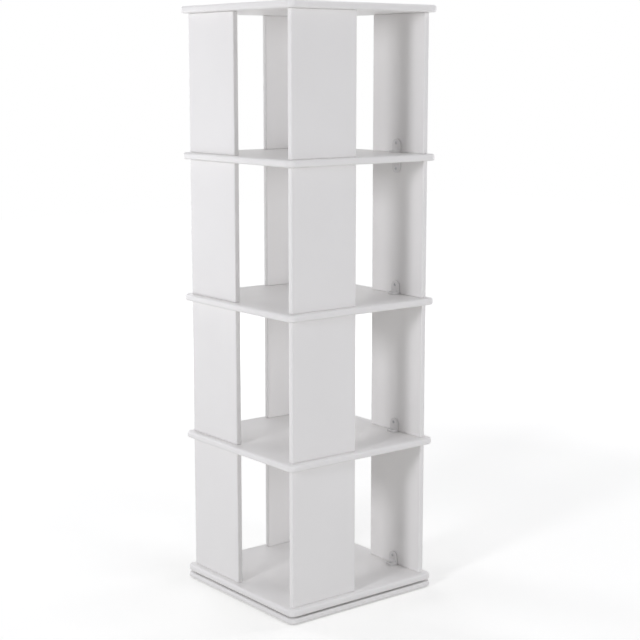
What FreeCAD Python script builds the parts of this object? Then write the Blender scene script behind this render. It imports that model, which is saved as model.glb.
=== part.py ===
import FreeCAD, Part
import os
from collections import namedtuple

from FreeCAD import Vector

# A revolving bookcase of white laminated board. Five square boards carry four tiers of upright
# panels, set like the vanes of a pinwheel, so that each side of each tier has one open bay. The
# case turns on a ring bearing between its bottom board and a fixed base board.
# Millimetres, +Z up, front towards -Y. The origin is on the floor, on the turning axis.

# Boards, from the bottom up
board_names = ["bottom_board", "lower_shelf", "middle_shelf", "upper_shelf", "top_board"]
board_side = 400.0
board_thickness = 15.0
board_corner_radius = 15.0
board_edge_radius = 5.0
base_thickness = 12.0
base_edge_radius = 4.0

# Tiers and their panels
tier_clear_height = 300.0
panel_width = 170.0
panel_thickness = 12.0
panel_edge_radius = 2.0
board_overhang = 15.0

# Rubber pads under the base board, measured in from its sides to the pad's middle
pad_diameter = 30.0
pad_thickness = 2.0
pad_inset = 35.0

# Ring bearing: both rings sit in a shallow groove in their boards
turntable_gap = 4.0
ring_groove_depth = 2.0
ring_groove_margin = 1.5
ring_running_clearance = 1.0
ring_width = 18.0
ball_circle_radius = 120.0
ball_diameter = 4.0
ball_count = 36
ball_clearance = 0.15
retainer_thickness = 0.8
retainer_clearance = 0.4
retainer_rim = 1.2

# Ring screws, and the hole in the base board that gives a driver access to the outer ring's screws
ring_screw_count = 6
ring_screw_diameter = 4.0
ring_screw_head = 8.0
ring_screw_skin = 3.0
access_hole_margin = 2.0

# Moulded angle brackets: an upright leg on the panel and a shorter foot on the board
bracket_width = 25.0
bracket_upright = 30.0
bracket_foot = 18.0
bracket_foot_corner = 7.0
bracket_thickness = 5.0
bracket_inner_radius = 2.0
upright_screw_from_tip = 9.0
foot_screw_from_tip = 7.0
bracket_screw_diameter = 3.5
bracket_screw_head = 7.0
bracket_screw_skin = 1.5
head_bracket_board = "upper_shelf"

# Dowels at the foot of a panel
dowel_diameter = 6.0
dowel_panel_depth = 16.0
dowel_skin = 7.0
dowel_from_edge = 50.0

# Screws through a board into the head of a panel, and their caps in the top board
panel_screw_diameter = 4.0
panel_screw_head = 8.0
panel_screw_bite = 25.0
panel_screw_from_edge = 30.0
cap_diameter = 12.0
cap_thickness = 2.5

# What every screw has in common
screw_head_land = 0.4
screw_tip_length = 4.0
recess_share_of_head = 0.6
recess_slot_width = 0.9
recess_depth = 1.3

# Clearance round a screw, dowel or cap in its hole
fit_clearance = 0.05

# Levels and places that follow from the sizes above
sides = ["front", "right", "back", "left"]
full_turn = 360.0
half_turn = full_turn / 2
quarter_turn = full_turn / 4
up = Vector(0, 0, 1)
origin = Vector(0, 0, 0)
half_side = board_side / 2
panel_line = half_side - board_overhang
panel_inner_face = -panel_line + panel_thickness
panel_middle_plane = -panel_line + panel_thickness / 2
panel_middle = -panel_line + panel_width / 2
base_top = pad_thickness + base_thickness
case_bottom = base_top + turntable_gap
tier_pitch = board_thickness + tier_clear_height
tiers = range(len(board_names) - 1)
top_level = len(board_names) - 1

Screw = namedtuple("Screw", "diameter head length")


def board_bottom(level):
    return case_bottom + level * tier_pitch


def board_top(level):
    return board_bottom(level) + board_thickness


def on_side(shape, side):
    """A copy of a shape of the front side, turned to another side of the case."""
    return shape.rotated(origin, up, quarter_turn * sides.index(side))


def box(x_range, y_range, z_range):
    """A block between two limits along each axis."""
    low = Vector(x_range[0], y_range[0], z_range[0])
    high = Vector(x_range[1], y_range[1], z_range[1])
    size = high - low
    return Part.makeBox(size.x, size.y, size.z, low)


def upright_cylinder(radius, bottom, top, x=0.0, y=0.0):
    return Part.makeCylinder(radius, top - bottom, Vector(x, y, bottom), up)


def tube(inner_radius, outer_radius, bottom, top):
    return upright_cylinder(outer_radius, bottom, top).cut(upright_cylinder(inner_radius, bottom, top))


def cut_all(solid, tools):
    """The solid with every tool taken away from it."""
    return solid.cut(Part.makeCompound(tools)) if tools else solid


def save(name, solids):
    """Writes one named node, which holds one solid or a group of like solids."""
    node = solids[0] if len(solids) == 1 else Part.makeCompound(solids)
    node.exportStep(os.path.join("parts", name + ".step"))


# Screws

def screw_blank(screw, clearance=0.0):
    """A countersunk screw that points down from its head's flat top at the origin, or its hole."""
    shank = screw.diameter / 2 + clearance
    head = screw.head / 2 + clearance
    cone_end = -screw_head_land - (head - shank)
    outline = [
        Vector(0, 0, clearance),
        Vector(head, 0, clearance),
        Vector(head, 0, -screw_head_land),
        Vector(shank, 0, cone_end),
        Vector(shank, 0, screw_tip_length - screw.length),
        Vector(0, 0, -screw.length - clearance),
    ]
    profile = Part.Face(Part.makePolygon(outline + outline[:1]))
    return profile.revolve(origin, up, full_turn)


def screw_hole(screw):
    return screw_blank(screw, fit_clearance)


def finished_screw(screw):
    """A countersunk screw with a cross recess in its head."""
    reach = screw.head * recess_share_of_head / 2
    half_slot = recess_slot_width / 2
    depth = (-recess_depth, fit_clearance)
    slots = [
        box((-reach, reach), (-half_slot, half_slot), depth),
        box((-half_slot, half_slot), (-reach, reach), depth),
    ]
    return cut_all(screw_blank(screw), slots)


ring_height = 2 * ring_groove_depth + turntable_gap - ring_running_clearance
base_ring_screw = Screw(
    ring_screw_diameter, ring_screw_head, ring_height + base_thickness - ring_groove_depth - ring_screw_skin
)
case_ring_screw = Screw(
    ring_screw_diameter, ring_screw_head, ring_height + board_thickness - ring_groove_depth - ring_screw_skin
)
bracket_screw = Screw(
    bracket_screw_diameter,
    bracket_screw_head,
    bracket_thickness + min(board_thickness / 2, panel_thickness) - bracket_screw_skin,
)
panel_screw = Screw(panel_screw_diameter, panel_screw_head, board_thickness + panel_screw_bite)


# Ring bearing

ring_gap = retainer_thickness + 2 * retainer_clearance
inner_ring_outer = ball_circle_radius - ring_gap / 2
inner_ring_inner = inner_ring_outer - ring_width
outer_ring_inner = ball_circle_radius + ring_gap / 2
outer_ring_outer = outer_ring_inner + ring_width
inner_ring_bottom = base_top - ring_groove_depth
inner_ring_top = inner_ring_bottom + ring_height
outer_ring_top = case_bottom + ring_groove_depth
outer_ring_bottom = outer_ring_top - ring_height
ball_level = (inner_ring_bottom + outer_ring_top) / 2
inner_screw_circle = inner_ring_inner + (ring_width - ball_diameter / 2) / 2
outer_screw_circle = outer_ring_outer - (ring_width - ball_diameter / 2) / 2


def round_the_axis(shape, count):
    """Copies of a shape, evenly spaced round the turning axis."""
    return [shape.rotated(origin, up, i * full_turn / count) for i in range(count)]


def base_ring_screws(shape):
    """Places a screw or its hole at each screw of the inner ring, pointing down."""
    placed = shape.translated(Vector(inner_screw_circle, 0, inner_ring_top))
    return round_the_axis(placed, ring_screw_count)


def case_ring_screws(shape):
    """Places a screw or its hole at each screw of the outer ring, pointing up."""
    flipped = shape.rotated(origin, Vector(1, 0, 0), half_turn)
    placed = flipped.translated(Vector(outer_screw_circle, 0, outer_ring_bottom))
    return round_the_axis(placed, ring_screw_count)


def ball_race():
    """The ring-shaped space that the balls run in."""
    race_radius = ball_diameter / 2 + ball_clearance
    return Part.makeTorus(ball_circle_radius, race_radius, Vector(0, 0, ball_level), up)


def inner_ring():
    ring = tube(inner_ring_inner, inner_ring_outer, inner_ring_bottom, inner_ring_top)
    return cut_all(ring.cut(ball_race()), base_ring_screws(screw_hole(base_ring_screw)))


def outer_ring():
    ring = tube(outer_ring_inner, outer_ring_outer, outer_ring_bottom, outer_ring_top)
    return cut_all(ring.cut(ball_race()), case_ring_screws(screw_hole(case_ring_screw)))


def balls():
    ball = Part.makeSphere(ball_diameter / 2, Vector(ball_circle_radius, 0, ball_level))
    return round_the_axis(ball, ball_count)


def retainer():
    """A thin hoop with one round pocket for each ball."""
    half_height = ball_diameter / 2 + retainer_rim
    inner = ball_circle_radius - retainer_thickness / 2
    outer = ball_circle_radius + retainer_thickness / 2
    hoop = tube(inner, outer, ball_level - half_height, ball_level + half_height)
    pocket = Part.makeCylinder(
        ball_diameter / 2 + ball_clearance,
        ring_gap,
        Vector(ball_circle_radius - ring_gap / 2, 0, ball_level),
        Vector(1, 0, 0),
    )
    return cut_all(hoop, round_the_axis(pocket, ball_count))


def ring_groove(bottom, top):
    """The groove that a board gives the two rings, with room to turn."""
    return tube(inner_ring_inner - ring_groove_margin, outer_ring_outer + ring_groove_margin, bottom, top)


# Brackets

upright_screw_height = bracket_upright - upright_screw_from_tip
foot_screw_reach = bracket_foot - foot_screw_from_tip


def bracket_screws(shape):
    """Places a screw or its hole in both legs: first into the panel, then into the board."""
    into_panel = shape.rotated(origin, Vector(1, 0, 0), -quarter_turn)
    return [
        into_panel.translated(Vector(0, bracket_thickness, upright_screw_height)),
        shape.translated(Vector(0, foot_screw_reach, bracket_thickness)),
    ]


def upright_leg():
    """The leg against the panel at y 0, with a half-round tip."""
    half = bracket_width / 2
    straight = bracket_upright - half
    strip = box((-half, half), (0, bracket_thickness), (0, straight))
    tip = Part.makeCylinder(half, bracket_thickness, Vector(0, 0, straight), Vector(0, 1, 0))
    return strip.fuse(tip)


def foot_leg():
    """The shorter leg on the board at z 0, with two round corners at its tip."""
    half = bracket_width / 2
    strip = box((-half, half), (0, bracket_foot), (0, bracket_thickness))
    upright_edges = [edge for edge in strip.Edges if edge.BoundBox.ZLength > bracket_thickness / 2]
    corners = [edge for edge in upright_edges if edge.CenterOfMass.y > bracket_foot / 2]
    return strip.makeFillet(bracket_foot_corner, corners)


def bracket():
    """An angle of two legs, with a fillet in its inner corner and a screw hole in each leg."""
    angle = upright_leg().fuse(foot_leg()).removeSplitter()
    inner_corner = Vector(0, bracket_thickness, bracket_thickness)
    inner_edges = [edge for edge in angle.Edges if edge.CenterOfMass.isEqual(inner_corner, fit_clearance)]
    filleted = angle.makeFillet(bracket_inner_radius, inner_edges)
    return cut_all(filleted, bracket_screws(screw_hole(bracket_screw)))


def has_head_brackets(tier):
    return board_names[tier + 1] == head_bracket_board


def bracket_ends(tier):
    return ["foot", "head"] if has_head_brackets(tier) else ["foot"]


def at_bracket(shape, tier, side, end):
    """Moves what belongs to one bracket from the bracket's own place to a panel's foot or head."""
    level = board_top(tier)
    if end == "head":
        shape = shape.rotated(origin, Vector(0, 1, 0), half_turn)
        level = board_bottom(tier + 1)
    placed = shape.translated(Vector(panel_middle, panel_inner_face, level))
    return on_side(placed, side)


def screws_of_bracket(shape, tier, side, end):
    return [at_bracket(screw, tier, side, end) for screw in bracket_screws(shape)]


def bracket_screws_of_tier(shape, tier, end):
    return [screw for side in sides for screw in screws_of_bracket(shape, tier, side, end)]


# Dowels, panel screws and caps

dowel_board_depth = board_thickness - dowel_skin


def mirrored_places(from_edge):
    """The two places along a panel of the front side that lie a distance in from its upright edges."""
    reach = panel_width / 2 - from_edge
    return [panel_middle - reach, panel_middle + reach]


def dowels(tier, side, clearance=0.0):
    """The dowels at the foot of one panel, or their holes."""
    bottom = board_top(tier) - dowel_board_depth - clearance
    top = board_top(tier) + dowel_panel_depth + clearance
    radius = dowel_diameter / 2 + clearance
    pins = [
        upright_cylinder(radius, bottom, top, x, panel_middle_plane)
        for x in mirrored_places(dowel_from_edge)
    ]
    return [on_side(pin, side) for pin in pins]


def panel_screws(shape, tier, side):
    """Places a screw or its hole at both screws that hold the head of one panel."""
    level = board_top(tier + 1)
    if tier + 1 == top_level:
        level = level - cap_thickness
    placed = [
        shape.translated(Vector(x, panel_middle_plane, level))
        for x in mirrored_places(panel_screw_from_edge)
    ]
    return [on_side(screw, side) for screw in placed]


def caps(side, clearance=0.0):
    """The caps over the top board's screws on one side, or the holes that they sit in."""
    top = board_top(top_level)
    radius = cap_diameter / 2 + clearance
    discs = [
        upright_cylinder(radius, top - cap_thickness, top + clearance, x, panel_middle_plane)
        for x in mirrored_places(panel_screw_from_edge)
    ]
    return [on_side(disc, side) for disc in discs]


# Panels

def panel(tier, side):
    """One upright panel with its edges softened and its holes bored."""
    blank = box(
        (-panel_line, panel_width - panel_line),
        (-panel_line, panel_inner_face),
        (board_top(tier), board_bottom(tier + 1)),
    )
    softened = on_side(blank.makeFillet(panel_edge_radius, blank.Edges), side)
    holes = dowels(tier, side, fit_clearance) + panel_screws(screw_hole(panel_screw), tier, side)
    for end in bracket_ends(tier):
        holes += screws_of_bracket(screw_hole(bracket_screw), tier, side, end)
    return cut_all(softened, holes)


# Boards

def plain_board(bottom, thickness, edge_radius):
    """A square board with round corners and rounded rims."""
    blank = box((-half_side, half_side), (-half_side, half_side), (bottom, bottom + thickness))
    corners = [edge for edge in blank.Edges if edge.BoundBox.ZLength > thickness / 2]
    rounded = blank.makeFillet(board_corner_radius, corners)
    rims = [edge for edge in rounded.Edges if edge.BoundBox.ZLength < thickness / 2]
    return rounded.makeFillet(edge_radius, rims)


def case_board(level):
    """One of the five boards of the case, with the holes that its neighbours need."""
    holes = []
    if level < top_level:
        holes += [pin for side in sides for pin in dowels(level, side, fit_clearance)]
        holes += bracket_screws_of_tier(screw_hole(bracket_screw), level, "foot")
    if level > 0:
        for side in sides:
            holes += panel_screws(screw_hole(panel_screw), level - 1, side)
        if has_head_brackets(level - 1):
            holes += bracket_screws_of_tier(screw_hole(bracket_screw), level - 1, "head")
    else:
        holes.append(ring_groove(case_bottom, outer_ring_top))
        holes += case_ring_screws(screw_hole(case_ring_screw))
    if level == top_level:
        holes += [cap for side in sides for cap in caps(side, fit_clearance)]
    return cut_all(plain_board(board_bottom(level), board_thickness, board_edge_radius), holes)


def base_board():
    """The fixed board on the floor, with the rings' groove and one driver hole."""
    access_hole = upright_cylinder(
        ring_screw_head / 2 + access_hole_margin, pad_thickness, base_top, outer_screw_circle
    )
    holes = [ring_groove(inner_ring_bottom, base_top), access_hole]
    holes += base_ring_screws(screw_hole(base_ring_screw))
    return cut_all(plain_board(pad_thickness, base_thickness, base_edge_radius), holes)


def pad(side):
    """One rubber pad, under the corner that the side's panel starts from."""
    place = pad_inset - half_side
    return on_side(upright_cylinder(pad_diameter / 2, 0, pad_thickness, place, place), side)


# Assembly

def save_base():
    save("base_board", [base_board()])
    for side in sides:
        save(side + "_foot_pad", [pad(side)])


def save_turntable():
    save("turntable_inner_ring", [inner_ring()])
    save("turntable_outer_ring", [outer_ring()])
    save("turntable_balls", balls())
    save("turntable_ball_retainer", [retainer()])
    save("inner_ring_screws", base_ring_screws(finished_screw(base_ring_screw)))
    save("outer_ring_screws", case_ring_screws(finished_screw(case_ring_screw)))


def save_case():
    for level, name in enumerate(board_names):
        save(name, [case_board(level)])
    angle = bracket()
    for tier in tiers:
        for side in sides:
            tier_name = "tier_%d" % (tier + 1)
            save("%s_panel_%s" % (side, tier_name), [panel(tier, side)])
            for end in bracket_ends(tier):
                save("%s_%s_bracket_%s" % (side, end, tier_name), [at_bracket(angle, tier, side, end)])


def save_fasteners():
    bracket_screw_solid = finished_screw(bracket_screw)
    panel_screw_solid = finished_screw(panel_screw)
    small_screws = []
    long_screws = []
    pins = []
    for tier in tiers:
        for end in bracket_ends(tier):
            small_screws += bracket_screws_of_tier(bracket_screw_solid, tier, end)
        for side in sides:
            long_screws += panel_screws(panel_screw_solid, tier, side)
            pins += dowels(tier, side)
    save("bracket_screws", small_screws)
    save("panel_screws", long_screws)
    save("panel_dowels", pins)
    save("top_screw_caps", [cap for side in sides for cap in caps(side)])


os.makedirs("parts", exist_ok=True)
save_base()
save_turntable()
save_case()
save_fasteners()
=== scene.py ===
import math
from collections import namedtuple

import bmesh
import bpy
from mathutils import Matrix, Vector


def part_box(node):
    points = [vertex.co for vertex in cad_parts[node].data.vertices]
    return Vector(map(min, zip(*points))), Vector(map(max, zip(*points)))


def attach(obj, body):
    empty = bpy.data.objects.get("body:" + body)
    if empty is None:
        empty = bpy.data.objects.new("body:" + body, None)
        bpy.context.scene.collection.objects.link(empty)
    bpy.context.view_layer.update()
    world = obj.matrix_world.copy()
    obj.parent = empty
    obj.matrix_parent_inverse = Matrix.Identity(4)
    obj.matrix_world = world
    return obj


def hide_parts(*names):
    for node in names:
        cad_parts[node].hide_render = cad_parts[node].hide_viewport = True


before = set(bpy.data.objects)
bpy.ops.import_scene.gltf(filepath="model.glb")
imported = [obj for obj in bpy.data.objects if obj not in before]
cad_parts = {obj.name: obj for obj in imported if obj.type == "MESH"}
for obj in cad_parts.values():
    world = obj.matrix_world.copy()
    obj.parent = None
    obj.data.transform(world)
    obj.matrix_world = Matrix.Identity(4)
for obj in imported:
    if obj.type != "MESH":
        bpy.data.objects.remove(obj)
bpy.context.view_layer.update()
scene = bpy.context.scene

# The looks of a revolving bookcase of white laminated board, in metres, round its imported frame.
# Boards and panels get rounded edge bands with a fine seam, brackets get soft moulded edges and
# countersinks, screws get a cross recess with painted shade on its walls, and every surface gets a
# procedural material.

MM = 0.001
QUARTER = math.pi / 2
SIDES = ["front", "right", "back", "left"]
SHELVES = ["lower_shelf", "middle_shelf", "upper_shelf"]
TIERS = [1, 2, 3, 4]

# Material slots of a board's mesh
FACE = 0
BAND = 1
CORE = 2

# Material slots of a bracket screw's mesh: its metal, and its cross recess, whose walls carry painted
# shade
METAL = 0
RECESS_PAINTED_SHADE = 1

# How finely curves are divided, and how meshes are shaded, welded and cut
edge_steps = 8
corner_steps = 10
round_steps = 40
groove_steps = 96
bracket_end_steps = 10
bracket_bend_steps = 4
bracket_edge_steps = 3
smooth_limit = math.radians(32)
weld_distance = 0.01 * MM
cutter_overrun = 1 * MM

# Edges of the boards and panels
board_corner_radius = 15 * MM
board_edge_radius = 5 * MM
base_edge_radius = 4 * MM
panel_corner_radius = 2.6 * MM
panel_edge_radius = 2 * MM
edge_support = 0.4 * MM
seam_width = 0.35 * MM
seam_depth = 0.25 * MM

# Turntable groove in two boards, and the access hole in the base board
ring_groove_depth = 2 * MM
ring_groove_margin = 1.5 * MM
ring_screw_head_radius = 4 * MM
access_hole_radius = 6 * MM

# Angle brackets
bracket_thickness = 5 * MM
bracket_inner_radius = 2 * MM
bracket_foot_corner = 7 * MM
bracket_edge_radius = 0.5 * MM
bracket_back_radius = 1.3 * MM
upright_screw_from_tip = 9 * MM
foot_screw_from_tip = 7 * MM
countersink_gap = 0.25 * MM

# Bracket screws
screw_head_radius = 3.5 * MM
screw_shank_radius = 1.75 * MM
screw_length = 11 * MM
screw_tip = 4 * MM
screw_head_land = 0.4 * MM
screw_rim_chamfer = 0.1 * MM
crown_radius = 3.325 * MM
crown_shoulder_radius = 2.1 * MM
crown_shoulder_height = 0.245 * MM
crown_height = 0.35 * MM
recess_reach = 2.1 * MM
recess_slot_width = 1 * MM
recess_depth = 1.3 * MM
recess_pit_radius = 1.7 * MM
recess_pit_depth = 2.2 * MM
recess_pit_floor_radius = 0.9 * MM

# Caps in the top board
cap_radius = 6 * MM
cap_from_panel_end = 30 * MM
cap_rim_radius = 0.4 * MM
cap_gap = 0.12 * MM

# Pads under the base board
pad_rim_radius = 0.5 * MM
pad_rings = 4
pad_ring_depth = 0.3 * MM
pad_ring_half_width = 0.6 * MM
pad_ring_floor_half_width = 0.3 * MM

# Noise in the materials: the part of its range that is used, and its detail in each use
noise_low = 0.3
noise_high = 0.7
patch_detail = 4
smear_detail = 3
grain_detail = 2

# Turned metal and bare chipboard
tool_line_wander = 1.5
tool_line_detail = 3
tool_line_depth = 0.02 * MM
metal_patches = 30
chips_per_metre = 650
chip_roughness = 0.85
chip_depth = 0.2 * MM
chip_dark = (0.33, 0.21, 0.11)
chip_light = (0.62, 0.46, 0.28)

# Studio: white surroundings, a ring of soft lamps with one above, and a pale floor
Lamp = namedtuple("Lamp", "spot width height power")
white = (1, 1, 1)
white_strength = 1.0
ambient_strength = 0.345
light_colour = (0.960, 0.961, 1.0)
lamp_aim = Vector((0, 0, 0.65))
lamps = {
    "key": Lamp(spot=(-3.03, -0.88, 1.48), width=0.45, height=0.6, power=32.0),
    "front": Lamp(spot=(0.5, -3.4, 1.2), width=0.9, height=1.4, power=23.0),
    "right": Lamp(spot=(3.2, -0.6, 1.2), width=1.5, height=1.8, power=26.0),
    "back_left": Lamp(spot=(-1.15, 3.3, 0.9), width=0.8, height=1.8, power=36.0),
    "back_right": Lamp(spot=(0.9, 3.3, 1.1), width=1.5, height=1.8, power=21.0),
    "above": Lamp(spot=(0.0, 0.0, 3.3), width=0.8, height=0.8, power=14.0),
}
floor_half_side = 8.0
floor_segments = 4
floor_patches = 3
floor_dark = (0.80, 0.80, 0.775)
floor_light = (0.81, 0.81, 0.785)

# The floor's own white as the camera sees it, less near the object, where the lamps add the rest
glow_near = 0.36
glow_far = 0.75
glow_near_reach = 1.4
glow_far_reach = 3.2

# Camera at the photograph's angle
camera_turn = math.radians(-38.3)
camera_pitch = math.radians(-9.44)
camera_distance = 3.191
camera_aside = 0.0268
camera_height = 1.152
camera_lens = 81.8
camera_sensor = 36.0
camera_shift_up = -0.0094


# Mesh helpers

def quarter_turn(steps):
    """Angles from zero to a quarter turn."""
    return [QUARTER * step / steps for step in range(steps + 1)]


def middle_and_size(node):
    low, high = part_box(node)
    return (low + high) / 2, high - low


def join_rings(bm, lower, upper, material_index=0):
    """Faces between two rings of vertices, where a ring of one vertex is a point on the axis."""
    count = max(len(lower), len(upper))
    for i in range(count):
        j = (i + 1) % count
        corners = [
            lower[i % len(lower)],
            lower[j % len(lower)],
            upper[j % len(upper)],
            upper[i % len(upper)],
        ]
        unique = [vertex for k, vertex in enumerate(corners) if vertex not in corners[:k]]
        bm.faces.new(unique).material_index = material_index


def lathe(profile, steps, closed=False, material_index=0):
    """A solid turned round the Z axis from (radius, height) points, or a ring where they close."""
    bm = bmesh.new()
    angles = [2 * math.pi * i / steps for i in range(steps)]
    rings = []
    for radius, height in profile:
        if radius == 0:
            rings.append([bm.verts.new((0, 0, height))])
            continue
        rings.append([bm.verts.new((radius * math.cos(a), radius * math.sin(a), height)) for a in angles])
    following = rings[1:] + rings[:1] if closed else rings[1:]
    for lower, upper in zip(rings, following):
        join_rings(bm, lower, upper, material_index)
    bmesh.ops.recalc_face_normals(bm, faces=bm.faces)
    return bm


def mesh_of(bm, name):
    mesh = bpy.data.meshes.new(name)
    bm.to_mesh(mesh)
    bm.free()
    return mesh


def soften(mesh):
    """Smooth shading, with the edges that turn sharply kept crisp."""
    mesh.polygons.foreach_set("use_smooth", [True] * len(mesh.polygons))
    mesh.set_sharp_from_angle(angle=smooth_limit)


def show(mesh, name, materials):
    mesh.materials.clear()
    for material in materials:
        mesh.materials.append(material)
    soften(mesh)
    piece = bpy.data.objects.new(name, mesh)
    scene.collection.objects.link(piece)
    return piece


def cut(mesh, cutters):
    """The mesh with every cutter mesh taken away from it. Cut walls keep the cutter's material slot."""
    body = bpy.data.objects.new("cut_body", mesh)
    scene.collection.objects.link(body)
    tools = []
    for cutter in cutters:
        tool = bpy.data.objects.new("cut_tool", cutter)
        scene.collection.objects.link(tool)
        tools.append(tool)
        modifier = body.modifiers.new("cut", "BOOLEAN")
        modifier.operation = "DIFFERENCE"
        modifier.solver = "EXACT"
        modifier.object = tool
    shaped = body.evaluated_get(bpy.context.evaluated_depsgraph_get())
    result = bpy.data.meshes.new_from_object(shaped)
    for obj in [body] + tools:
        bpy.data.objects.remove(obj)
    return result


def copies(mesh, matrices, name):
    """One mesh that holds a copy of a mesh at each matrix."""
    bm = bmesh.new()
    for matrix in matrices:
        placed = mesh.copy()
        placed.transform(matrix)
        bm.from_mesh(placed)
        bpy.data.meshes.remove(placed)
    return mesh_of(bm, name)


def fit(piece, body, slot, *nodes):
    """Puts a finished piece on its body, in place of the plain nodes."""
    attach(piece, body)
    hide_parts(*nodes)


# Material helpers

def add_node(tree, kind, settings=None, **inputs):
    """A node whose inputs, named with _ for a space, are values or links from other nodes."""
    node = tree.nodes.new(kind)
    for name, value in (settings or {}).items():
        setattr(node, name, value)
    for name, value in inputs.items():
        socket = node.inputs[name.replace("_", " ")]
        if isinstance(value, bpy.types.NodeSocket):
            tree.links.new(value, socket)
        else:
            socket.default_value = value
    return node


def ramp(tree, share, dark, light, low=noise_low, high=noise_high):
    """A colour between dark and light by a share."""
    node = add_node(tree, "ShaderNodeValToRGB", Fac=share)
    for element, position, colour in zip(node.color_ramp.elements, (low, high), (dark, light)):
        element.position = position
        element.color = (*colour, 1)
    return node.outputs["Color"]


def spread(tree, share, low, high):
    """A number between low and high by a noise share."""
    node = add_node(
        tree,
        "ShaderNodeMapRange",
        Value=share,
        From_Min=noise_low,
        From_Max=noise_high,
        To_Min=low,
        To_Max=high,
    )
    return node.outputs["Result"]


def place(tree, stretch=(1, 1, 1)):
    """Coordinates fixed to the piece, in metres, stretched along the axes."""
    coords = add_node(tree, "ShaderNodeTexCoord").outputs["Object"]
    return add_node(tree, "ShaderNodeMapping", Vector=coords, Scale=stretch).outputs["Vector"]


def noise(tree, vector, per_metre, detail):
    node = add_node(tree, "ShaderNodeTexNoise", Vector=vector, Scale=per_metre, Detail=detail)
    return node.outputs["Fac"]


def relief(tree, height, depth, below=None):
    """A bump of that depth in metres, on top of the relief below it."""
    node = add_node(tree, "ShaderNodeBump", Height=height, Strength=1.0, Distance=depth)
    if below is not None:
        tree.links.new(below, node.inputs["Normal"])
    return node.outputs["Normal"]


def new_surface(name, **constants):
    """A material with its node tree and shader."""
    material = bpy.data.materials.new(name)
    material.use_nodes = True
    tree = material.node_tree
    shader = tree.nodes["Principled BSDF"]
    for key, value in constants.items():
        shader.inputs[key.replace("_", " ")].default_value = value
    return material, tree, shader


def mottled(name, dark, light, patches, roughness, smears, reliefs, stretch=(1, 1, 1), **constants):
    """A surface with cloudy colour, smeared gloss and layers of (grains per metre, depth) relief.

    Patches and smears are counted per metre, and the roughness is a (low, high) pair.
    """
    material, tree, shader = new_surface(name, **constants)
    vector = place(tree, stretch)
    colour = ramp(tree, noise(tree, vector, patches, patch_detail), dark, light)
    gloss = spread(tree, noise(tree, vector, smears, smear_detail), *roughness)
    normal = None
    for per_metre, depth in reliefs:
        normal = relief(tree, noise(tree, vector, per_metre, grain_detail), depth, normal)
    tree.links.new(colour, shader.inputs["Base Color"])
    tree.links.new(gloss, shader.inputs["Roughness"])
    tree.links.new(normal, shader.inputs["Normal"])
    return material


def turned_metal(name, dark, light, lines_per_metre, roughness):
    """Metal with fine tool lines in rings round the turning axis."""
    material, tree, shader = new_surface(name, Metallic=1.0)
    vector = place(tree)
    rings = add_node(
        tree,
        "ShaderNodeTexWave",
        {"wave_type": "RINGS", "rings_direction": "Z"},
        Vector=vector,
        Scale=lines_per_metre,
        Distortion=tool_line_wander,
        Detail=tool_line_detail,
    ).outputs["Fac"]
    colour = ramp(tree, noise(tree, vector, metal_patches, patch_detail), dark, light)
    tree.links.new(colour, shader.inputs["Base Color"])
    tree.links.new(spread(tree, rings, *roughness), shader.inputs["Roughness"])
    tree.links.new(relief(tree, rings, tool_line_depth), shader.inputs["Normal"])
    return material


def chipboard(name):
    """The bare core of a board: pressed chips of several tones."""
    material, tree, shader = new_surface(name, Roughness=chip_roughness)
    chips = add_node(tree, "ShaderNodeTexVoronoi", Vector=place(tree), Scale=chips_per_metre)
    tone = add_node(tree, "ShaderNodeSeparateColor", Color=chips.outputs["Color"]).outputs["Red"]
    colour = ramp(tree, tone, chip_dark, chip_light, low=0, high=1)
    tree.links.new(colour, shader.inputs["Base Color"])
    tree.links.new(relief(tree, tone, chip_depth), shader.inputs["Normal"])
    return material


# Materials

laminate = mottled(
    "white_laminate",
    dark=(0.870, 0.858, 0.846),
    light=(0.888, 0.877, 0.865),
    patches=7,
    roughness=(0.38, 0.48),
    smears=22,
    reliefs=[(30, 0.05 * MM), (900, 0.006 * MM)],
    Specular_IOR_Level=0.4,
)
edge_band = mottled(
    "white_edge_band",
    dark=(0.868, 0.858, 0.848),
    light=(0.888, 0.878, 0.868),
    patches=15,
    roughness=(0.30, 0.40),
    smears=40,
    reliefs=[(60, 0.04 * MM), (1400, 0.004 * MM)],
    Specular_IOR_Level=0.45,
)
core = chipboard("chipboard_core")
bracket_plastic = mottled(
    "bracket_plastic",
    dark=(0.738, 0.726, 0.720),
    light=(0.778, 0.766, 0.760),
    patches=60,
    roughness=(0.38, 0.52),
    smears=200,
    reliefs=[(2500, 0.01 * MM)],
)
zinc = mottled(
    "zinc_steel",
    dark=(0.52, 0.52, 0.53),
    light=(0.68, 0.68, 0.69),
    patches=400,
    roughness=(0.24, 0.40),
    smears=900,
    reliefs=[(1800, 0.01 * MM)],
    Metallic=1.0,
)
# Painted shade: near-black walls in the screws' cross recess, standing in for the shade deep in it
recess_painted_shade = mottled(
    "recess_painted_shade",
    dark=(0.015, 0.015, 0.016),
    light=(0.04, 0.04, 0.04),
    patches=900,
    roughness=(0.55, 0.75),
    smears=900,
    reliefs=[(3000, 0.02 * MM)],
)
cap_plastic = mottled(
    "cap_plastic",
    dark=(0.79, 0.79, 0.795),
    light=(0.82, 0.82, 0.822),
    patches=80,
    roughness=(0.36, 0.46),
    smears=250,
    reliefs=[(2200, 0.008 * MM)],
)
rubber = mottled(
    "pad_rubber",
    dark=(0.035, 0.035, 0.037),
    light=(0.06, 0.06, 0.062),
    patches=120,
    roughness=(0.70, 0.88),
    smears=300,
    reliefs=[(1500, 0.03 * MM)],
)
aluminium = turned_metal(
    "turned_aluminium",
    dark=(0.66, 0.67, 0.68),
    light=(0.76, 0.77, 0.78),
    lines_per_metre=900,
    roughness=(0.28, 0.42),
)
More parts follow.
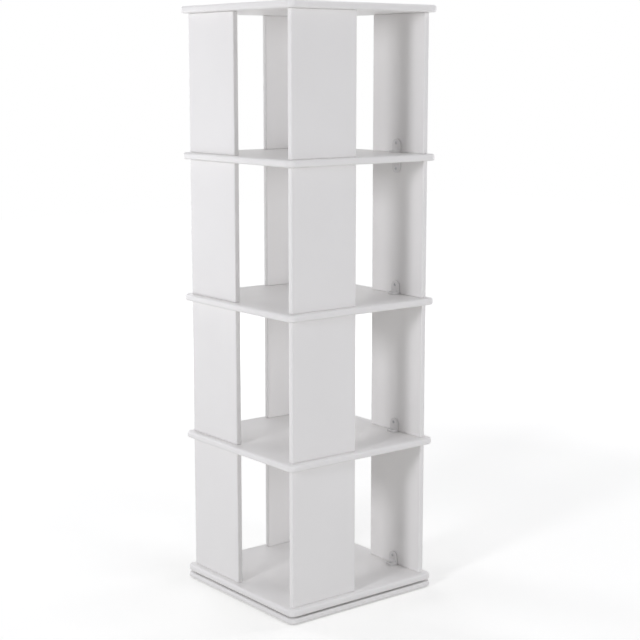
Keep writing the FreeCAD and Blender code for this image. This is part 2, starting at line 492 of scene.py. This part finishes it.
ball_steel = mottled(
    "ball_steel",
    dark=(0.58, 0.58, 0.59),
    light=(0.66, 0.66, 0.67),
    patches=500,
    roughness=(0.08, 0.16),
    smears=1200,
    reliefs=[(4000, 0.002 * MM)],
    Metallic=1.0,
)
nylon = mottled(
    "retainer_nylon",
    dark=(0.70, 0.69, 0.63),
    light=(0.77, 0.76, 0.70),
    patches=150,
    roughness=(0.42, 0.56),
    smears=400,
    reliefs=[(2000, 0.01 * MM)],
)
beech = mottled(
    "dowel_beech",
    dark=(0.46, 0.29, 0.15),
    light=(0.62, 0.42, 0.24),
    patches=900,
    roughness=(0.55, 0.7),
    smears=700,
    reliefs=[(1500, 0.04 * MM)],
    stretch=(1, 1, 0.06),
)
board_materials = [laminate, edge_band, core]
screw_materials = [zinc, recess_painted_shade]

slot_materials = {
    "white_board": laminate,
    "bracket_plastic": bracket_plastic,
    "ring_aluminium": aluminium,
    "ball_steel": ball_steel,
    "retainer_nylon": nylon,
    "screw_steel": zinc,
    "dowel_wood": beech,
    "cap_plastic": cap_plastic,
    "rubber_pad": rubber,
}


def dress_nodes():
    """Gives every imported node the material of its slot."""
    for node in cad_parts.values():
        for material_slot in node.material_slots:
            slot_name = material_slot.material.name.split(".")[0]
            material_slot.material = slot_materials[slot_name]


# Boards and panels

def rounded_outline(half_x, half_y, radius):
    """Points round a rectangle with rounded corners."""
    corners = [(1, 1), (-1, 1), (-1, -1), (1, -1)]
    points = []
    for quarter, (x_sign, y_sign) in enumerate(corners):
        for angle in quarter_turn(corner_steps):
            direction = QUARTER * quarter + angle
            x = x_sign * (half_x - radius) + radius * math.cos(direction)
            y = y_sign * (half_y - radius) + radius * math.sin(direction)
            points.append((x, y))
    return points


def edge_profile(thickness, radius):
    """(inset, height) points over a banded edge, from the seam in the lower face to that in the upper."""
    half = thickness / 2
    upper = [(0, half - radius - edge_support)]
    for angle in quarter_turn(edge_steps):
        upper.append((radius * (1 - math.cos(angle)), half - radius * (1 - math.sin(angle))))
    upper.append((radius + seam_width / 2, half - seam_depth))
    upper.append((radius + seam_width, half))
    lower = [(inset, -height) for inset, height in reversed(upper)]
    return lower + upper


def slab(width, depth, thickness, corner_radius, edge_radius, name):
    """A banded board that lies flat, with its middle at the origin."""
    bm = bmesh.new()
    loops = []
    for inset, height in edge_profile(thickness, edge_radius):
        outline = rounded_outline(width / 2 - inset, depth / 2 - inset, corner_radius - inset)
        loops.append([bm.verts.new((x, y, height)) for x, y in outline])
    for lower, upper in zip(loops, loops[1:]):
        join_rings(bm, lower, upper, BAND)
    bm.faces.new(list(reversed(loops[0]))).material_index = FACE
    bm.faces.new(loops[-1]).material_index = FACE
    return mesh_of(bm, name)


def show_board(node, body, cutters=(), edge_radius=board_edge_radius):
    middle, size = middle_and_size(node)
    mesh = slab(size.x, size.y, size.z, board_corner_radius, edge_radius, node + "_banded")
    mesh.transform(Matrix.Translation(middle))
    if cutters:
        mesh = cut(mesh, cutters)
    fit(show(mesh, node + "_banded", board_materials), body, "white_board", node)


def show_panel(node):
    middle, size = middle_and_size(node)
    width = max(size.x, size.y)
    thickness = min(size.x, size.y)
    mesh = slab(width, size.z, thickness, panel_corner_radius, panel_edge_radius, node + "_banded")
    upright = Matrix.Rotation(QUARTER, 4, "X")
    turn = Matrix.Rotation(0 if size.x > size.y else QUARTER, 4, "Z")
    mesh.transform(Matrix.Translation(middle) @ turn @ upright)
    fit(show(mesh, node + "_banded", board_materials), "case", "white_board", node)


def round_cutter(radius, bottom, top, centre):
    profile = [(0, bottom), (radius, bottom), (radius, top), (0, top)]
    mesh = mesh_of(lathe(profile, round_steps, material_index=CORE), "round_cutter")
    mesh.transform(Matrix.Translation((*centre, 0)))
    return mesh


def groove_cutter(bottom, top):
    """The ring-shaped room that a board gives the turntable."""
    outer_ring_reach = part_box("turntable_outer_ring")[1].x
    inner_ring_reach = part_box("turntable_inner_ring")[1].x
    retainer_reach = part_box("turntable_ball_retainer")[1].x
    ring_width = outer_ring_reach - retainer_reach
    outer = outer_ring_reach + ring_groove_margin
    inner = inner_ring_reach - ring_width - ring_groove_margin
    profile = [(inner, bottom), (outer, bottom), (outer, top), (inner, top)]
    return mesh_of(lathe(profile, groove_steps, closed=True, material_index=CORE), "groove_cutter")


def access_hole():
    """A hole through the base board in line with one screw of the outer ring."""
    low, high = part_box("base_board")
    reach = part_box("outer_ring_screws")[1].x - ring_screw_head_radius
    return round_cutter(access_hole_radius, low.z - cutter_overrun, high.z + cutter_overrun, (reach, 0))


def cap_places():
    """The middles of the screw caps, over the ends of the top tier's panels."""
    places = []
    for side in SIDES:
        middle, size = middle_and_size(f"{side}_panel_tier_{TIERS[-1]}")
        along = Vector((1, 0, 0)) if size.x > size.y else Vector((0, 1, 0))
        reach = size.dot(along) / 2 - cap_from_panel_end
        for sign in (-1, 1):
            places.append(middle + sign * reach * along)
    return places


def cap_recesses():
    """The rooms that the top board gives the screw caps."""
    low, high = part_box("top_screw_caps")
    recesses = []
    for spot in cap_places():
        centre = (spot.x, spot.y)
        recesses.append(round_cutter(cap_radius + cap_gap, low.z, high.z + cutter_overrun, centre))
    return recesses


def show_boards():
    base_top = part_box("base_board")[1].z
    case_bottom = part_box("bottom_board")[0].z
    base_groove = groove_cutter(base_top - ring_groove_depth, base_top + cutter_overrun)
    case_groove = groove_cutter(case_bottom - cutter_overrun, case_bottom + ring_groove_depth)
    show_board("base_board", "base", [base_groove, access_hole()], base_edge_radius)
    show_board("bottom_board", "case", [case_groove])
    for node in SHELVES:
        show_board(node, "case")
    show_board("top_board", "case", cap_recesses())


def show_panels():
    for side in SIDES:
        for tier in TIERS:
            show_panel(f"{side}_panel_tier_{tier}")


# Caps in the top board

def cap_mesh(height):
    """A round cap with a soft upper rim."""
    profile = [(0, 0), (cap_radius, 0)]
    for angle in quarter_turn(edge_steps):
        inset = cap_rim_radius * (1 - math.cos(angle))
        drop = cap_rim_radius * (1 - math.sin(angle))
        profile.append((cap_radius - inset, height - drop))
    profile.append((0, height))
    return mesh_of(lathe(profile, round_steps), "cap")


def show_caps():
    low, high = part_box("top_screw_caps")
    matrices = [Matrix.Translation((spot.x, spot.y, low.z)) for spot in cap_places()]
    mesh = copies(cap_mesh(high.z - low.z), matrices, "screw_caps_moulded")
    fit(show(mesh, "screw_caps_moulded", [cap_plastic]), "case", "cap_plastic", "top_screw_caps")


# Brackets

def leg_tip(length, half_width, corner, inset):
    """(half width, reach) points round a leg's tip, from its end to its side."""
    points = []
    for angle in quarter_turn(bracket_end_steps):
        half = half_width - corner + (corner - inset) * math.sin(angle)
        reach = length - corner + (corner - inset) * math.cos(angle)
        points.append((half, reach))
    return points


def bracket_rims():
    """(inset, share) steps over the bracket's edge.

    The share of the thickness runs from 0 on the hidden back to 1 on the shown face.
    """
    back_share = bracket_back_radius / bracket_thickness
    edge_share = bracket_edge_radius / bracket_thickness
    rims = []
    for angle in quarter_turn(bracket_edge_steps):
        rims.append((bracket_back_radius * (1 - math.sin(angle)), back_share * (1 - math.cos(angle))))
    for angle in quarter_turn(bracket_edge_steps):
        rims.append((bracket_edge_radius * (1 - math.cos(angle)), 1 - edge_share * (1 - math.sin(angle))))
    return rims


def bracket_stations(size, inset, share):
    """(half width, out, up) points from the upright leg's tip round the bend to the foot's tip."""
    radius = size.x / 2
    face = share * bracket_thickness
    upright = [(half, face, reach) for half, reach in leg_tip(size.z, radius, radius, inset)]
    foot = [(half, reach, face) for half, reach in leg_tip(size.y, radius, bracket_foot_corner, inset)]
    bend = []
    bend_middle = bracket_thickness + bracket_inner_radius
    for angle in quarter_turn(bracket_bend_steps):
        out, up = math.cos(angle), math.sin(angle)
        back_reach = bend_middle / max(out, up)
        reach = back_reach + (bracket_inner_radius - back_reach) * share
        bend.append((radius - inset, bend_middle - reach * out, bend_middle - reach * up))
    return upright + bend + foot[::-1]


def bracket_blank(size):
    """An angle with two round-ended legs and soft edges, with its back at y 0 and its foot at z 0."""
    bm = bmesh.new()
    chains = []
    for inset, share in bracket_rims():
        stations = bracket_stations(size, inset, share)
        left = [bm.verts.new((-half, out, up)) for half, out, up in stations]
        right = [bm.verts.new((half, out, up)) for half, out, up in stations]
        chains.append((left, right))
    back_left, back_right = chains[0]
    face_left, face_right = chains[-1]
    strips = [(back_left, back_right), (face_right, face_left)]
    for (lower_left, lower_right), (upper_left, upper_right) in zip(chains, chains[1:]):
        strips.append((upper_left, lower_left))
        strips.append((lower_right, upper_right))
        bm.faces.new((lower_left[-1], lower_right[-1], upper_right[-1], upper_left[-1]))
    for one, other in strips:
        for i in range(len(one) - 1):
            bm.faces.new((one[i], one[i + 1], other[i + 1], other[i]))
    bmesh.ops.remove_doubles(bm, verts=bm.verts, dist=weld_distance)
    bmesh.ops.recalc_face_normals(bm, faces=bm.faces)
    return mesh_of(bm, "bracket")


def screw_places(size):
    """The places of a bracket's two screws, from a screw that points down at the origin."""
    height = size.z - upright_screw_from_tip
    reach = size.y - foot_screw_from_tip
    into_panel = Matrix.Translation((0, bracket_thickness, height)) @ Matrix.Rotation(-QUARTER, 4, "X")
    into_board = Matrix.Translation((0, reach, bracket_thickness))
    return [into_panel, into_board]


def countersink(matrix):
    """The room that a bracket gives one screw."""
    head_radius = screw_head_radius + countersink_gap
    cone_end = -screw_head_land - (head_radius - screw_shank_radius)
    hole_end = -bracket_thickness - cutter_overrun
    profile = [
        (0, hole_end),
        (screw_shank_radius, hole_end),
        (screw_shank_radius, cone_end),
        (head_radius, -screw_head_land),
        (head_radius, cutter_overrun),
        (0, cutter_overrun),
    ]
    mesh = mesh_of(lathe(profile, round_steps), "countersink")
    mesh.transform(matrix)
    return mesh


def bracket_mesh(size):
    countersinks = [countersink(matrix) for matrix in screw_places(size)]
    return cut(bracket_blank(size), countersinks)


# Bracket screws

def screw_blank():
    """A countersunk screw with a low crown, pointing down."""
    cone_end = -screw_head_land - (screw_head_radius - screw_shank_radius)
    profile = [
        (0, -screw_length),
        (screw_shank_radius, screw_tip - screw_length),
        (screw_shank_radius, cone_end),
        (screw_head_radius, -screw_head_land),
        (screw_head_radius, -screw_rim_chamfer),
        (crown_radius, 0),
        (crown_shoulder_radius, crown_shoulder_height),
        (0, crown_height),
    ]
    return mesh_of(lathe(profile, round_steps, material_index=METAL), "screw_blank")


def recess_pit():
    """The tapered pit in the middle of the cross recess, its walls in the painted-shade slot."""
    profile = [
        (0, -recess_pit_depth),
        (recess_pit_floor_radius, -recess_pit_depth),
        (recess_pit_radius, 0),
        (recess_pit_radius, cutter_overrun),
        (0, cutter_overrun),
    ]
    return mesh_of(lathe(profile, round_steps, material_index=RECESS_PAINTED_SHADE), "recess_pit")


def recess_slot(turn):
    """One bar of the cross recess, as far above the head as it goes in, its walls in the painted-shade
    slot.
    """
    bm = bmesh.new()
    bmesh.ops.create_cube(bm, size=1)
    size = Vector((2 * recess_reach, recess_slot_width, 2 * recess_depth))
    bmesh.ops.scale(bm, vec=size, verts=bm.verts)
    bmesh.ops.rotate(bm, matrix=Matrix.Rotation(turn, 3, "Z"), verts=bm.verts)
    for face in bm.faces:
        face.material_index = RECESS_PAINTED_SHADE
    return mesh_of(bm, "recess_slot")


def screw_mesh():
    return cut(screw_blank(), [recess_pit(), recess_slot(0), recess_slot(QUARTER)])


def bracket_nodes():
    """Name, side number and end of every bracket."""
    for tier in TIERS:
        for number, side in enumerate(SIDES):
            for end in ("foot", "head"):
                name = f"{side}_{end}_bracket_tier_{tier}"
                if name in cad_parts:
                    yield name, number, end


def bracket_place(node, number, end, size):
    """Moves a bracket from its own place, with its back at y 0 and its foot at z 0, to a node's place."""
    middle = middle_and_size(node)[0]
    flip = Matrix.Rotation(0 if end == "foot" else math.pi, 4, "Y")
    turn = Matrix.Rotation(QUARTER * number, 4, "Z")
    to_middle = Matrix.Translation((0, -size.y / 2, -size.z / 2))
    return Matrix.Translation(middle) @ turn @ flip @ to_middle


def show_brackets():
    size = middle_and_size("front_foot_bracket_tier_1")[1]
    bracket = bracket_mesh(size)
    screw_matrices = []
    for node, number, end in bracket_nodes():
        matrix = bracket_place(node, number, end, size)
        mesh = bracket.copy()
        mesh.transform(matrix)
        fit(show(mesh, node + "_moulded", [bracket_plastic]), "case", "bracket_plastic", node)
        screw_matrices += [matrix @ spot for spot in screw_places(size)]
    mesh = copies(screw_mesh(), screw_matrices, "bracket_screws_recessed")
    fit(show(mesh, "bracket_screws_recessed", screw_materials), "case", "screw_steel", "bracket_screws")


# Rubber pads

def pad_profile(radius, height):
    """(radius, height) points of a pad with moulded rings in its sole and a soft lower rim."""
    profile = [(0, 0)]
    for ring in range(1, pad_rings + 1):
        reach = radius * ring / (pad_rings + 1)
        profile.append((reach - pad_ring_half_width, 0))
        profile.append((reach - pad_ring_floor_half_width, pad_ring_depth))
        profile.append((reach + pad_ring_floor_half_width, pad_ring_depth))
        profile.append((reach + pad_ring_half_width, 0))
    for angle in quarter_turn(edge_steps):
        inset = pad_rim_radius * (1 - math.sin(angle))
        rise = pad_rim_radius * (1 - math.cos(angle))
        profile.append((radius - inset, rise))
    return profile + [(radius, height), (0, height)]


def show_pads():
    for side in SIDES:
        node = f"{side}_foot_pad"
        low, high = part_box(node)
        middle = (low + high) / 2
        profile = pad_profile((high.x - low.x) / 2, high.z - low.z)
        mesh = mesh_of(lathe(profile, round_steps), node + "_ringed")
        mesh.transform(Matrix.Translation((middle.x, middle.y, low.z)))
        fit(show(mesh, node + "_ringed", [rubber]), "base", "rubber_pad", node)


# Studio and camera

def larger(tree, one, other):
    node = add_node(tree, "ShaderNodeMath", {"operation": "MAXIMUM"})
    tree.links.new(one, node.inputs[0])
    tree.links.new(other, node.inputs[1])
    return node.outputs["Value"]


def white_for_seeing(tree):
    """1 for rays that show the surroundings as a background, and 0 for rays that carry light."""
    path = add_node(tree, "ShaderNodeLightPath").outputs
    seen_or_mirrored = larger(tree, path["Is Camera Ray"], path["Is Glossy Ray"])
    return larger(tree, seen_or_mirrored, path["Is Transmission Ray"])


def mix_shaders(tree, share, one, other):
    node = add_node(tree, "ShaderNodeMixShader", Fac=share)
    tree.links.new(one, node.inputs[1])
    tree.links.new(other, node.inputs[2])
    return node.outputs["Shader"]


def add_shaders(tree, one, other):
    node = add_node(tree, "ShaderNodeAddShader")
    tree.links.new(one, node.inputs[0])
    tree.links.new(other, node.inputs[1])
    return node.outputs["Shader"]


def background(tree, colour, strength):
    node = add_node(tree, "ShaderNodeBackground", Color=(*colour, 1), Strength=strength)
    return node.outputs["Background"]


def make_world():
    world = bpy.data.worlds.new("studio")
    world.use_nodes = True
    tree = world.node_tree
    tree.nodes.clear()
    lighting = background(tree, light_colour, ambient_strength)
    seen = background(tree, white, white_strength)
    mixed = mix_shaders(tree, white_for_seeing(tree), lighting, seen)
    add_node(tree, "ShaderNodeOutputWorld", Surface=mixed)
    scene.world = world


def floor_glow(tree):
    """The floor's own white, which grows with the distance from the object."""
    reach = add_node(tree, "ShaderNodeVectorMath", {"operation": "LENGTH"}, Vector=place(tree))
    strength = add_node(
        tree,
        "ShaderNodeMapRange",
        Value=reach.outputs["Value"],
        From_Min=glow_near_reach,
        From_Max=glow_far_reach,
        To_Min=glow_near,
        To_Max=glow_far,
    ).outputs["Result"]
    return add_node(tree, "ShaderNodeEmission", Color=(*white, 1), Strength=strength).outputs["Emission"]


def floor_material():
    material = bpy.data.materials.new("pale_floor")
    material.use_nodes = True
    tree = material.node_tree
    tree.nodes.clear()
    colour = ramp(tree, noise(tree, place(tree), floor_patches, grain_detail), floor_dark, floor_light)
    matt = add_node(tree, "ShaderNodeBsdfDiffuse", Color=colour).outputs["BSDF"]
    seen = add_shaders(tree, matt, floor_glow(tree))
    mixed = mix_shaders(tree, white_for_seeing(tree), matt, seen)
    add_node(tree, "ShaderNodeOutputMaterial", Surface=mixed)
    return material


def make_floor():
    bm = bmesh.new()
    bmesh.ops.create_grid(bm, x_segments=floor_segments, y_segments=floor_segments, size=floor_half_side)
    floor = bpy.data.objects.new("floor", mesh_of(bm, "floor"))
    scene.collection.objects.link(floor)
    floor.data.materials.append(floor_material())


def make_lamp(name, values):
    light = bpy.data.lights.new(name, "AREA")
    light.shape = "RECTANGLE"
    light.size = values.width
    light.size_y = values.height
    light.energy = values.power
    light.color = light_colour
    lamp = bpy.data.objects.new(name, light)
    lamp.location = values.spot
    lamp.rotation_euler = (lamp_aim - Vector(values.spot)).to_track_quat("-Z", "Y").to_euler()
    scene.collection.objects.link(lamp)


def make_camera():
    data = bpy.data.cameras.new("camera")
    data.lens = camera_lens
    data.sensor_width = camera_sensor
    data.shift_y = camera_shift_up
    camera = bpy.data.objects.new("camera", data)
    back = Vector((math.sin(camera_turn), -math.cos(camera_turn), 0))
    right = Vector((math.cos(camera_turn), math.sin(camera_turn), 0))
    camera.location = camera_distance * back + camera_aside * right + Vector((0, 0, camera_height))
    camera.rotation_euler = (QUARTER + camera_pitch, 0, camera_turn)
    scene.collection.objects.link(camera)
    scene.camera = camera


dress_nodes()
show_boards()
show_panels()
show_caps()
show_brackets()
show_pads()

make_world()
make_floor()
for lamp_name, lamp_values in lamps.items():
    make_lamp(lamp_name, lamp_values)
make_camera()
scene.view_settings.view_transform = "Standard"
